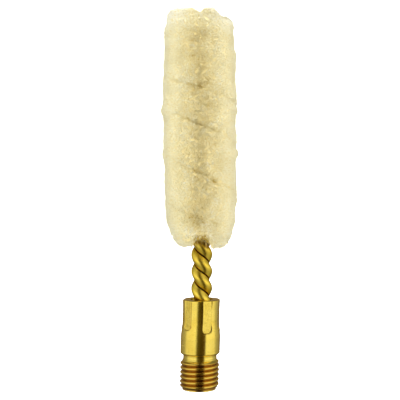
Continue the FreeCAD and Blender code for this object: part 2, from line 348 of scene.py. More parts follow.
def drawn_brass():
    # the marks of drawing run along the wire
    # painted shade in the seams between the legs: warm, then very dark
    material, tree, shader, _, tone, rough, normal = brass(
        "brass_wire", marks_from="draw_uv", mark_scale=(40, 0.8, 1),
        shade_warm=(0.78, 0.56, 0.085), shade_deep=(0.15, 0.052, 0.004),
        least_rough=0.205, speckle_rough=0.10)
    tree.links.new(normal, shader.inputs["Normal"])
    tree.links.new(rough, shader.inputs["Roughness"])
    shader.inputs["Specular Tint"].default_value = (0.80, 0.62, 0.28, 1.0)
    tone = tint(tree, tone, (1.12, 1.11, 0.80))
    tree.links.new(tone, shader.inputs["Base Color"])
    return material


def wool_material():
    """Colour by the "fibre" attribute: tone, place from root to tip, and painted shade."""
    material, tree, shader = new_material("wool_pile")
    split = tree.nodes.new("ShaderNodeSeparateXYZ")
    tree.links.new(attribute(tree, "fibre", "Vector"), split.inputs[0])
    colour = ramp(tree, split.outputs["X"], [
        (0.0, (0.32, 0.20, 0.018)), (0.12, (0.60, 0.43, 0.10)),
        (0.34, (0.86, 0.76, 0.41)), (0.66, (0.94, 0.885, 0.615)),
        (0.85, (0.955, 0.93, 0.74)), (1.0, (0.97, 0.955, 0.84))])
    root_to_tip = ramp(tree, split.outputs["Y"], [
        (0.0, (0.82, 0.71, 0.45)), (0.55, (0.95, 0.895, 0.73)),
        (0.85, (0.985, 0.97, 0.93)), (1.0, 1)])
    patches = noise_texture(tree, object_coords(tree), scale=420, detail=3.0, roughness=0.6)
    clouds = ramp(tree, patches, [(0.3, (0.95, 0.93, 0.86)), (0.6, 1)])
    colour = tint(tree, colour, root_to_tip)
    colour = tint(tree, colour, clouds, factor=0.7)
    # painted shade: the flanks, and the whole core, are made a little darker and greyer
    wool_shade_tint = ramp(tree, split.outputs["Z"], [(0.0, 1), (1.0, (0.895, 0.90, 0.915))])
    colour = tint(tree, colour, wool_shade_tint)
    tree.links.new(colour, shader.inputs["Base Color"])
    for name, value in (("Roughness", 0.85), ("Specular IOR Level", 0.04),
                        ("Sheen Weight", 0.0), ("Sheen Roughness", 0.4),
                        ("Sheen Tint", (1.0, 0.96, 0.86, 1.0))):
        shader.inputs[name].default_value = value
    # thin fibres let some light through
    surface = shader.outputs["BSDF"].links[0].to_socket
    thin = tree.nodes.new("ShaderNodeBsdfTranslucent")
    tree.links.new(colour, thin.inputs["Color"])
    blend = tree.nodes.new("ShaderNodeMixShader")
    blend.inputs[0].default_value = 0.16
    tree.links.new(shader.outputs["BSDF"], blend.inputs[1])
    tree.links.new(thin.outputs["BSDF"], blend.inputs[2])
    tree.links.new(blend.outputs[0], surface)
    return material


# ------------------------------------------------------------------ ferrule
RING_SIZE = 240
RING_ANGLES = np.arange(RING_SIZE) * FULL_TURN / RING_SIZE

THREAD_R = 3.969
THREAD_DEPTH = 0.47
THREAD_ROOT_R = THREAD_R - THREAD_DEPTH
PITCH = 25.4 / 27                       # 27 threads to the inch
GROOVE_Z = -1.165 - PITCH * 7.0 / 360.0   # a groove's height at angle 0
LEAD_IN_R, LEAD_IN_HEIGHT = 3.12, 0.88
RUN_OUT_START, RUN_OUT_END = 5.62, 6.15
NECK_R = 3.40
SHOULDER_Z = 7.14
BODY_R = 4.0
BORE_R = 2.25
BORE_TIP_Z = 7.75
BORE_SHADE = 0.6

# end face at the bottom, from near the axis to its edge: height, radius
END_FACE = [(0.0, 0.5), (0.0, 1.4), (0.0, 2.3), (0.0, 2.8), (0.0, 3.0), (0.0, 3.08), (0.02, 3.13)]
# step from the neck out to the shoulder: height, radius
SHOULDER = [(7.12, 3.41), (SHOULDER_Z, 3.46), (SHOULDER_Z, 3.62), (7.155, 3.665)]
# outside of the body before crimping: height, radius
BODY = np.array([
    (7.46, 3.985), (7.52, BODY_R), (10.7, BODY_R), (11.2, 3.97), (11.9, 3.89), (12.6, 3.81),
    (13.4, 3.745), (13.9, 3.72), (16.3, 3.72), (17.92, 3.77), (18.06, 3.765)])
BODY_HEIGHTS = np.concatenate([
    np.arange(7.52, 11.45, 0.10), np.arange(11.45, 13.2, 0.032), np.arange(13.2, 18.02, 0.085)])
# rounding of the top edge: inset from the outside, height
TOP_EDGE = [(0.0, 18.09), (0.012, 18.15), (0.05, 18.20), (0.10, 18.235), (0.16, FERRULE_TOP)]
TOP_INSET = TOP_EDGE[-1][0]
# inner edge of the top face, down into the bore: height, radius
BORE_EDGE = [(FERRULE_TOP, 2.41), (18.21, 2.33), (18.15, 2.27), (18.05, BORE_R)]
# drilled end of the bore: height, radius
BORE_END = [(9.0, BORE_R), (8.45, 1.25), (7.95, 0.35)]

# crimp marks: angle in degrees, height of the lower end, pinched seam beside it
JAWS = [(-68.8, 11.80, False), (-12.0, 11.95, False), (48.0, 12.12, False),
        (108.0, 12.25, False), (168.0, 12.30, False), (-135.8, 12.34, True)]
MARK_HALF_WIDTH = 1.74 / 2
MARK_CORNER = 0.70          # radius of the corners at the lower end
MARK_FLAT = 3.585           # distance of the pressed flat from the axis

# knocks on the body: angle in degrees, height, radius, depth
KNOCKS = [
    (-149, 9.2, 0.17, 0.09), (-156, 9.9, 0.28, 0.03), (-166, 9.75, 0.22, 0.03),
    (-150, 8.9, 0.18, 0.02), (-158, 8.35, 0.25, 0.02), (-168, 10.4, 0.3, 0.02),
    (60, 9.4, 0.25, 0.03), (140, 8.6, 0.2, 0.03), (20, 10.3, 0.22, 0.02)]


def ring(z, radius, press=0.0, film=0.0):
    """One ring of the ferrule: rows of height, radius, press and painted shade."""
    return np.array([np.broadcast_to(row, (RING_SIZE,)) for row in (z, radius, press, film)])


def thread_rings():
    """Thread with its lead-in chamfer and its run-out into the neck."""
    rings = []
    for z in np.arange(0.05, 6.151, 0.0347):
        envelope = min(LEAD_IN_R + (THREAD_R - LEAD_IN_R) * z / LEAD_IN_HEIGHT, THREAD_R)
        if z > RUN_OUT_START:
            gone = (z - RUN_OUT_START) / (RUN_OUT_END - RUN_OUT_START)
            envelope = min(envelope, THREAD_R - gone * (THREAD_R - NECK_R))
        turns = (z - GROOVE_Z) / PITCH - RING_ANGLES / FULL_TURN
        from_root = np.abs(turns - np.round(turns)) * 2      # 0 at a root, 1 at a crest
        climb = np.clip((from_root - 0.10) / 0.86, 0, 1)     # the root has a narrow floor
        groove = THREAD_ROOT_R + THREAD_DEPTH * np.sin(math.pi / 2 * climb)**0.9
        radius = np.maximum(soft_min(envelope, groove, blend=0.03), NECK_R)
        # painted shade lies deepest in the roots and fades at both ends of the thread
        film = 0.33 + 0.62 * rise(from_root, 0.58, -0.5)
        film = film * rise(z, 5.9, -0.3) * rise(z, 0, 0.4)
        rings.append(ring(z, radius, film=film))
    return rings


def neck_rings():
    """Relief neck, shoulder and the chamfer above it."""
    rings = [ring(z, NECK_R + 0.012 * math.sin(z * 9.0)) for z in np.linspace(6.22, 7.08, 9)]
    rings += [ring(z, radius) for z, radius in SHOULDER]
    chamfer, start_r = 0.34, 3.66
    for t in np.linspace(0.12, 0.88, 5):
        rings.append(ring(SHOULDER_Z + chamfer * t, start_r + chamfer * t))
    return rings


def mark_inset(x, below_corner):
    """Distance inside a crimp mark: straight sides and a rounded lower end."""
    past_side = np.maximum(np.abs(x) - (MARK_HALF_WIDTH - MARK_CORNER), 0)
    return np.where(below_corner > 0,
                    MARK_CORNER - np.sqrt(past_side**2 + below_corner**2),
                    MARK_HALF_WIDTH - np.abs(x))


def body_ring(z):
    radius = np.full(RING_SIZE, lookup(BODY, z))
    press = np.zeros(RING_SIZE)
    lip = np.zeros(RING_SIZE)
    seam = np.zeros(RING_SIZE)
    for angle, low_z, pinched in JAWS:
        turn = angle_from(RING_ANGLES, angle)
        near = np.abs(turn) < 0.6
        x = np.tan(np.clip(turn, -0.7, 0.7)) * MARK_FLAT
        inset = mark_inset(x, low_z + MARK_CORNER - z)
        inside = rise(inset, -0.025, 0.05) * near
        flat = MARK_FLAT / np.cos(np.clip(turn, -0.6, 0.6))
        radius = radius + (np.minimum(flat, radius) - radius) * inside
        press = np.maximum(press, inside)
        if pinched:
            # a narrow upright line that starts in a wider dent, both darkened with painted shade
            line = near * bell((x - 0.80) / 0.055) * rise(z, 12.75, 0.3)
            dent = near * 1.3 * bell((x - 0.84) / 0.13) * bell((z - 13.0) / 0.22)
            seam = np.maximum(line, dent)
            radius = radius - 0.05 * seam
        # metal pushed up round the rounded end
        lip_fade = rise(z, low_z + MARK_CORNER + 0.25, -0.5)
        lip = np.maximum(lip, near * bell((inset + 0.09) / 0.07) * lip_fade)
    radius = radius + 0.035 * lip
    radius = radius + 0.006 * press * value_noise(RING_ANGLES * 14, z * 3.4, seed=5)
    radius = radius + 0.004 * value_noise(RING_ANGLES * 5, z * 0.9, seed=6)
    for angle, knock_z, size, depth in KNOCKS:
        across = angle_from(RING_ANGLES, angle) * BODY_R / size
        away = across**2 + ((z - knock_z) / size)**2
        # a hollow with a low rim of pushed-up metal
        radius = (radius - depth * np.exp(-away)
                  + 0.4 * depth * np.exp(-(np.sqrt(away) - 1.5)**2 * 4))
    return ring(z, radius, press, np.minimum(seam, 1))


def mouth_rings(outside):
    """Top edge, top face and the bore; outside is the body's radius at its top."""
    rings = [ring(z, outside - inset) for inset, z in TOP_EDGE]
    inner_r = BORE_EDGE[0][1]
    ripple = 0.004 * np.sin(RING_ANGLES * 7)
    for inward in (0.15, 0.5, 0.85):
        radius = (outside - TOP_INSET) * (1 - inward) + inner_r * inward
        rings.append(ring(FERRULE_TOP + ripple, radius))
    rings += [ring(z, radius) for z, radius in BORE_EDGE]
    # the bore is darkened with painted shade
    rings += [ring(z, BORE_R, film=BORE_SHADE) for z in np.arange(17.6, 9.0, -0.5)]
    rings += [ring(z, radius, film=BORE_SHADE) for z, radius in BORE_END]
    return rings


def build_ferrule():
    rings = [ring(z, radius) for z, radius in END_FACE]
    rings += thread_rings() + neck_rings()
    rings += [body_ring(z) for z in BODY_HEIGHTS]
    rings += mouth_rings(rings[-1][1])
    z, radius, press, film = np.array(rings).transpose(1, 0, 2)
    points = np.stack([radius * np.cos(RING_ANGLES), radius * np.sin(RING_ANGLES), z], -1)
    points = np.concatenate([points.reshape(-1, 3), [(0, 0, 0), (0, 0, BORE_TIP_Z)]])
    points[:, 0] += lookup(STEM_SHIFT, points[:, 2])
    walls = tube_faces(0, len(rings), RING_SIZE).swapaxes(0, 1).reshape(-1, 3)
    faces = np.concatenate([walls, cap_faces(0, len(rings), RING_SIZE)])
    ob = mesh_object("ferrule_turned", points, faces)
    for name, values in (("press", press), ("film", film)):
        add_float(ob, name, np.append(values.ravel(), [0, 0]))
    dress(ob, turned_brass(), "ferrule")


# ------------------------------------------------------------------ stem wire
WIRE_R = 1.06
WIRE_START_Z = 9.90
# distance of each leg from the axis: twisted tight, inside the pile, at the loop
TIGHT_OFFSET, PILE_OFFSET, LOOP_OFFSET = 1.00, 1.42, 1.80
LOOSEN_FROM_Z, LOOSEN_TO_Z = 31.3, 33.2
LOOP_FROM_Z, LOOP_Z = 69.9, 71.5
LOOP_RISE = 1.12 * LOOP_OFFSET          # height of the loop above LOOP_Z
WIRE_STEP = 0.15                        # distance between sections of the wire
# section of a pressed leg: an arc set outwards of the centre and a flat inside
ARC_R, ARC_SHIFT, FLAT_DISTANCE = 1.52, 0.38, 0.99


def wire_angle(z):
    """Angle of a leg, which lags the parting of the pile by 62 degrees inside it."""
    return leg_angle(z) - math.radians(62) * rise(np.asarray(z, float), 26.9, 4.9)


def wire_path():
    """Centre line of the wire: up one leg, over the loop, down the other."""
    z = np.concatenate([np.arange(WIRE_START_Z, 34.0, 0.10), np.arange(34.0, LOOP_Z, 0.2),
                        [LOOP_Z]])
    offset = (TIGHT_OFFSET
              + (PILE_OFFSET - TIGHT_OFFSET)
              * rise(z, LOOSEN_FROM_Z, LOOSEN_TO_Z - LOOSEN_FROM_Z)
              + (LOOP_OFFSET - PILE_OFFSET) * rise(z, LOOP_FROM_Z, LOOP_Z - LOOP_FROM_Z))
    angle = wire_angle(z)
    up = np.stack([offset * np.cos(angle), offset * np.sin(angle), z], 1)
    down = (up * (-1, -1, 1))[::-1]
    # the twist goes on at its last rate and dies away over the loop
    loop_angle = float(wire_angle(LOOP_Z))
    rate = float(wire_angle(LOOP_Z + 0.01) - wire_angle(LOOP_Z)) / 0.01
    t = np.linspace(0, math.pi, 30)[1:-1]
    across = LOOP_OFFSET * np.cos(t)
    angle = loop_angle + rate * LOOP_RISE * (np.sin(t) - 0.5 * np.sin(t)**2)
    loop = np.stack([across * np.cos(angle), across * np.sin(angle),
                     LOOP_Z + LOOP_RISE * np.sin(t)], 1)
    return np.concatenate([up, loop, down])


def even_path():
    """The centre line in even steps, slightly smoothed, with lengths along it."""
    path = wire_path()
    steps = np.linalg.norm(np.diff(path, axis=0), axis=1)
    length = np.concatenate([[0], np.cumsum(steps)])
    even = np.linspace(0, length[-1], int(length[-1] / WIRE_STEP))
    path = np.stack([np.interp(even, length, path[:, axis]) for axis in range(3)], 1)
    for _ in range(3):
        path[1:-1] = 0.25 * path[:-2] + 0.5 * path[1:-1] + 0.25 * path[2:]
    return path, even


def place_section(path, outward, sideways, cos_a, sin_a, radius):
    arm = outward[:, None] * cos_a[..., None] + sideways[:, None] * sin_a[..., None]
    return path[:, None] + arm * radius[..., None]


def build_wire():
    path, length = even_path()
    count = len(path)
    tangent = np.gradient(path, axis=0)
    tangent /= np.linalg.norm(tangent, axis=1)[:, None]
    axis_points = np.stack([0 * length, 0 * length, np.minimum(path[:, 2], LOOP_Z)], 1)
    outward = path - axis_points
    outward -= tangent * np.sum(outward * tangent, 1)[:, None]
    outward /= np.linalg.norm(outward, axis=1)[:, None]
    sideways = np.cross(tangent, outward)

    # angles round the section, from its outer side; closest where the flat begins
    half = np.radians(np.concatenate([
        np.arange(5, 105, 10), np.arange(104, 150, 3.6), np.arange(152, 180, 8)]))
    around = np.concatenate([half, FULL_TURN - half[::-1]])
    size = len(around)
    cos_a, sin_a = np.cos(around)[None], np.sin(around)[None]

    # slight unevenness, none of it on the flat
    along = length[:, None]
    uneven = (1 + 0.005 * value_noise(along * 0.6, around[None] * 1.3, seed=21)
              - 0.010 * np.abs(value_noise(along * 0.17, around[None] * 0.9, seed=22)))
    uneven = np.where(cos_a < -0.3, 1.0, uneven)
    round_ring = place_section(path, outward, sideways, cos_a, sin_a, WIRE_R * uneven)

    # twisting has pressed the legs together: outside they stay round, inside they are flat
    arc = -ARC_SHIFT * cos_a + np.sqrt(ARC_SHIFT**2 * cos_a**2 + ARC_R**2 - ARC_SHIFT**2)
    flat = np.where(cos_a < -0.05, -FLAT_DISTANCE / np.minimum(cos_a, -0.05), 20.0)
    pressed_r = soft_min(arc, flat, blend=0.17)
    level_out = outward * (1, 1, 0)
    level_out /= np.maximum(np.linalg.norm(level_out, axis=1), 1e-6)[:, None]
    level_side = np.stack([-level_out[:, 1], level_out[:, 0], 0 * length], 1)
    level_side = level_side * np.sign(tangent[:, 2])[:, None]
    pressed_ring = place_section(path, level_out, level_side, cos_a, sin_a, pressed_r * uneven)

    tight = rise(path[:, 2], 33.0, -1.2)[:, None]
    rings = round_ring + (pressed_ring - round_ring) * tight[..., None]
    rings[..., 0] += lookup(STEM_SHIFT, rings[..., 2])
    points = np.concatenate([rings.reshape(-1, 3), path[:1], path[-1:]])
    faces = np.concatenate([tube_faces(0, count, size).reshape(-1, 3),
                            cap_faces(0, count, size)])
    ob = mesh_object("twisted_wire", points, faces)
    # going round the wire the pattern runs out and back, so that it has no seam
    turn = 1 - np.abs(1 - 2 * np.append(np.tile(around / FULL_TURN, count), [0, 0]))
    lengths = np.append(np.repeat(length, size), [0, length[-1]])
    add_vector(ob, "draw_uv", np.stack([turn, lengths, 0 * turn], 1))
    # painted shade in the seams, where the legs turn in towards each other
    from_outside = np.degrees(np.where(around > math.pi, FULL_TURN - around, around))
    film = rise(from_outside, 109.0, 10.0)[None] * tight
    add_float(ob, "film", np.append(film.ravel(), [0.5, 0.5]))
    dress(ob, drawn_brass(), "stem_wire")


# ------------------------------------------------------------------ surface of the pile
# outline of the pile from the underside at the wire, round the bottom edge,
# up the side and over the top to the axis: radius, height
PROFILE = np.array([
    (2.22, 31.2), (2.26, 30.3), (2.36, 29.75), (2.68, 29.42), (3.20, 29.26), (3.80, 29.18),
    (4.45, 29.25), (5.00, 29.62), (5.50, 30.35), (5.95, 31.2), (6.30, 32.0), (6.56, 32.8),
    (6.80, 33.9), (6.93, 35.1), (7.06, 37.0), (7.14, 40.0), (7.20, 44.0), (7.26, 48.0),
    (7.28, 52.0), (7.32, 56.0), (7.28, 60.0), (7.22, 64.0), (7.12, 67.0), (7.00, 69.5),
    (6.88, 72.0), (6.70, 73.25), (6.45, 74.1), (6.26, 74.9), (6.12, 75.5), (5.88, 76.02),
    (5.40, 76.32), (4.80, 76.44), (4.00, 76.44), (3.20, 76.42), (2.20, 76.38), (1.10, 76.32),
    (0.02, 76.30)])

# top edge seen from the front: sideways position, height
SKYLINE = np.array([
    (-7.5, 76.6), (-5.9, 76.45), (-5.0, 76.35), (-2.4, 76.30), (-1.2, 76.10), (-0.3, 75.35),
    (0.25, 74.85), (0.65, 75.40), (1.2, 76.05), (2.2, 76.20), (3.1, 76.05), (3.6, 75.60),
    (4.3, 74.80), (5.0, 74.55), (6.3, 74.35), (7.5, 73.9)])

# spots where the pile parts and one looks down between the fibres:
# angle in degrees, height, depth, size
PITS = (
    (-91, 60.3, 0.34, 0.95), (-92, 52.9, 0.30, 0.9), (-97, 44.4, 0.34, 0.9),
    (-103, 35.6, 0.34, 1.0), (-92, 68.9, 0.28, 0.8), (-84, 57.6, 0.28, 0.8),
    (-60, 41.9, 0.28, 0.8), (-108, 62.8, 0.20, 0.8), (88, 48.6, 0.45, 0.8),
    (95, 58.2, 0.4, 0.8), (60, 39.5, 0.4, 0.8), (120, 66.0, 0.4, 0.8))

# fuller or thinner places at the two flanks: side along x, height, fullness, half height
FLANKS = (
    (-1, 61.6, 0.34, 1.6), (-1, 56.2, 0.62, 1.3), (-1, 47.4, 0.48, 1.3), (-1, 37.4, 0.20, 1.3),
    (-1, 72.0, 0.16, 1.0), (1, 67.1, 0.34, 1.0), (1, 56.4, 0.34, 1.0), (1, 53.1, -0.20, 1.2),
    (1, 47.7, 0.52, 1.0), (1, 38.3, 0.38, 1.2), (1, 73.2, 0.36, 0.9))

PIT_RADIUS = 7.1            # pile radius that turns a pit's angle into a distance
WIRE_HOLE_LENGTH = 3.0      # length of the outline that belongs to the underside


def even_outline():
    """PROFILE in even steps, rounded by a running mean, with its outward normals."""
    steps = np.linalg.norm(np.diff(PROFILE, axis=0), axis=1)
    length = np.concatenate([[0], np.cumsum(steps)])
    even = np.arange(0, length[-1], 0.05)
    window = 13

    def smoothed(column):
        values = np.pad(np.interp(even, length, column), window // 2, mode="edge")
        return np.convolve(values, np.ones(window) / window, "valid")

    r, z = smoothed(PROFILE[:, 0]), smoothed(PROFILE[:, 1])
    step_r, step_z = np.gradient(r), np.gradient(z)
    size = np.hypot(step_r, step_z)
    return even, r, z, step_z / size, -step_r / size


LENGTH, OUT_R, OUT_Z, NORMAL_R, NORMAL_Z = even_outline()


def at_length(length, column):
    """Value of an outline column at a length along the outline."""
    return np.interp(length, LENGTH, column)


def wear(angle):
    """1 at the front and back, which are worn and matted; 0 at the smooth flanks."""
    return np.abs(np.sin(angle))**4.5


# 0 at the front and back, 1 at the flanks, which get painted shade
def flank_weight(worn):
    return rise(1 - worn, 0, 0.55)


def relief(angle, z):
    """Height of the pile's surface above its mean outline, in mm."""
    from_parting = (angle - leg_angle(z) + math.pi / 2) % math.pi - math.pi / 2
    twist_rate = -(leg_angle(z + 0.05) - leg_angle(z - 0.05)) / 0.1
    half_turn = math.pi / np.maximum(1e-6, twist_rate)
    above = from_parting * half_turn / math.pi       # height above the parting line, mm
    # the line wanders, and varies in strength
    above = (above + 0.35 * value_noise(angle * 2.2, z * 0.55, seed=31)
             + 0.16 * value_noise(angle * 6.0, z * 1.6, seed=32))
    strength = 0.75 + 0.35 * value_noise(angle * 1.7 + 9, z * 0.33, seed=33)
    # a sharp furrow in a broad one, fainter near both ends and at the flanks
    line = bell(above / 0.32) * 0.66 + bell(above / 0.85) * 0.16
    fade = 1 - 0.55 * rise(z, 61.5, 3.0) - 0.6 * rise(z, 34.5, -2.0)
    fade = fade * (1 - 0.55 * np.abs(np.cos(angle))**2.5)
    swell = 0.24 * bell((above - 2.0) / 1.6) - 0.24 * bell((above + 1.8) / 1.5)
    height = 0.12 + fade * (swell - strength * line)
    height = (height + 0.06 * value_noise(angle * 3.4, z * 0.9, seed=34)
              + 0.035 * value_noise(angle * 8.0, z * 2.1, seed=35))
    for side, full_z, fullness, half_height in FLANKS:
        facing = np.clip(side * np.cos(angle), 0, 1)**3
        height = height + fullness * facing * bell((z - full_z) / half_height)
    for degrees, pit_z, depth, size in PITS:
        across = angle_from(angle, degrees) * PIT_RADIUS
        height = height - depth * np.exp(-(across**2 + (z - pit_z)**2) / size**2)
    return height


def surface_point(angle, length):
    """Pile surface at an angle and outline length: radius, height, outward normal."""
    mean_r, mean_z = at_length(length, OUT_R), at_length(length, OUT_Z)
    normal_r, normal_z = at_length(length, NORMAL_R), at_length(length, NORMAL_Z)
    size = np.hypot(normal_r, normal_z)
    normal_r, normal_z = normal_r / size, normal_z / size
    # the relief dies out towards the axis
    height = relief(angle, mean_z) * rise(mean_r, 0.55, 3.0)
    r = mean_r + normal_r * height
    z = mean_z + normal_z * height
    # the two lobes hang lower than the parting between them, the right one lowest
    x = r * np.cos(angle)
    parting = rise(mean_z, 33.4, -3.0) * bell((x - 0.25) / 1.66, power=6)
    z = z + 1.60 * parting * np.clip((33.4 - mean_z) / 4.2, 0, 1)
    z = z - 0.22 * rise(mean_z, 31.5, -2.0) * rise(x, 0, 3.0)
    r = r + 0.20 * np.cos(angle) * rise(mean_z, 35.0, -5.0) * rise(mean_r, 2.5, 2.0)
    # the top is held below the skyline, which is rougher away from the middle plane
    x, y = r * np.cos(angle), r * np.sin(angle)
    sky = (lookup(SKYLINE, x) + 0.06 * value_noise(angle * 5.0, r * 1.3, seed=36)
           + 0.22 * value_noise(x * 0.7 + 5, y * 0.55, seed=38) * rise(np.abs(y), 0, 3.0))
    return r, soft_min(z, sky, blend=0.12), normal_r, normal_z


# ------------------------------------------------------------------ fibres
# a fibre is three rings of three points and a tip
FIBRE_RINGS, FIBRE_SIDES = 3, 3
FIBRE_POINTS = FIBRE_RINGS * FIBRE_SIDES + 1


def fibre_faces(count):
    """Triangles of so many fibres: sides, pointed tip, closed root."""
    one = []
    for base in (0, 3):
        for side in range(FIBRE_SIDES):
            a, b = base + side, base + (side + 1) % FIBRE_SIDES
            one += [(a, b, b + 3), (a, b + 3, a + 3)]
    one += [(6 + side, 6 + (side + 1) % FIBRE_SIDES, 9) for side in range(FIBRE_SIDES)]
    one.append((2, 1, 0))
    return (np.arange(count)[:, None, None] * FIBRE_POINTS + np.array(one)).reshape(-1, 3)


def fibre_points(stations, side, up, width, taper, spin):
    """Points round four stations of each fibre, the last of which is its tip."""
    points = np.empty((len(width), FIBRE_POINTS, 3), np.float32)
    for i in range(FIBRE_RINGS):
        for corner in range(FIBRE_SIDES):
            turn = spin + corner * FULL_TURN / FIBRE_SIDES
            arm = side * np.cos(turn)[:, None] + up * np.sin(turn)[:, None]
            points[:, i * 3 + corner] = stations[i] + arm * (width * taper[i])[:, None]
    points[:, 9] = stations[3]
    return points


def fibre_data(tone, root_to_tip, flank_amount):
    """Per point: tone, place from root to tip (given per station), painted shade."""
    along = np.repeat(root_to_tip, (3, 3, 3, 1))
    return np.stack([np.repeat(tone, FIBRE_POINTS), np.tile(along, len(tone)),
                     np.repeat(flank_amount, FIBRE_POINTS)], 1)


def wool_object(name, points, faces, data, material, piece):
    ob = mesh_object(name, points, faces)
    add_vector(ob, "fibre", data)
    uv = ob.data.uv_layers.new(name="OFBake")
    corner = np.empty(len(ob.data.loops), np.int32)
    ob.data.loops.foreach_get("vertex_index", corner)
    uv.data.foreach_set("uv", data[corner, :2].astype(np.float32).ravel())
    dress(ob, material, piece)


# ------------------------------------------------------------------ wool pile
CORE_SIZE = 96                          # points round the core
CORE_HOLE_R = 2.62                      # hole for the wire in all but the top piece
CORE_ANGLES = np.arange(CORE_SIZE) * FULL_TURN / CORE_SIZE


def scatter_tufts(rng, step):
    """Tufts on a loose grid over the whole pile: angles and outline lengths."""
    angles, lengths = [], []
    row = 0.1
    while row < LENGTH[-1] - 0.02:
        r = float(at_length(row, OUT_R))
        count = max(3, int(round(FULL_TURN * r / step)))
        angle = (np.arange(count) + rng.uniform(0, 1)) * FULL_TURN / count
        angles.append(angle + rng.normal(0, 0.30, count) * step / max(r, 0.3))
        lengths.append(np.full(count, row) + rng.normal(0, 0.30 * step, count))
        row += step
    return np.concatenate(angles), np.clip(np.concatenate(lengths), 0.02, LENGTH[-1] - 0.03)


def make_tufts(rng, step):
    """Tufts with their wear, height, tone and lean."""
    angle, length = scatter_tufts(rng, step)
    count = len(angle)
    r, z = at_length(length, OUT_R), at_length(length, OUT_Z)
    worn = wear(angle)
    # painted light: the top of the pile is made lighter, and its tone scatters less
    top_light = rise(z, 70.5, 5.0)
    # underside near the wire, whose tone is darkened with painted shade
    near_wire = rise(r, 3.35, -0.7) * (length < WIRE_HOLE_LENGTH)
    ragged = rise(z, 33.2, -2.4) * (1 - near_wire)
    upper = rise(length, 47.5, 3.0)
    # painted golden shade on the short fibres round the place where the wire goes in
    entry_shade = bell((r * np.cos(angle) - 0.25) / 2.0, power=4) * rise(z, 32.2, -2.4)

    height = rng.normal(0, 1, count) * (0.018 + 0.05 * worn + 0.12 * ragged + 0.10 * upper)
    height = (height + 0.10 * upper * value_noise(angle * 5.0, length * 1.7, seed=47)
              + 0.34 * ragged * value_noise(angle * 2.6, length * 1.5, seed=46)
              + (0.02 + 0.02 * worn) * value_noise(angle * 6.5, length * 0.95, seed=41))

    tone = (0.645 - 0.06 * worn + 0.29 * top_light + 0.10 * rise(z, 34.5, -3.0)
            - 0.75 * near_wire - 0.36 * entry_shade)
    # scatter from tuft to tuft, then broad and fine clouds
    scatter = 0.014 + 0.125 * worn * (1 - 0.6 * top_light) + 0.06 * entry_shade
    tone = tone + scatter * rng.normal(0, 1, count)
    broad = 0.03 + 0.12 * worn * (1 - 0.5 * top_light)
    tone = tone + broad * value_noise(angle * 4.2, length * 0.6, seed=42)
    fine = 0.11 * worn * (1 - top_light)
    tone = tone + fine * value_noise(angle * 8.0, length * 1.3, seed=45)

    def lean(shift, seed):
        own = (0.05 + 0.08 * worn) * rng.normal(0, 1, count)
        return own + 0.16 * value_noise(angle * 5.0 + shift, length * 0.8, seed)

    return SimpleNamespace(
        angle=angle, length=length, r=r, z=z, worn=worn, near_wire=near_wire,
        entry_shade=entry_shade, height=height, tone=tone,
        lean_round=lean(shift=7, seed=43), lean_along=lean(shift=3, seed=44),
        # share of fibres that stand off the pile
        fly_share=(0.020 - 0.008 * worn + 0.13 * rise(z, 33.5, -3.0)
                   + 0.05 * rise(z, 72, 3.0)))


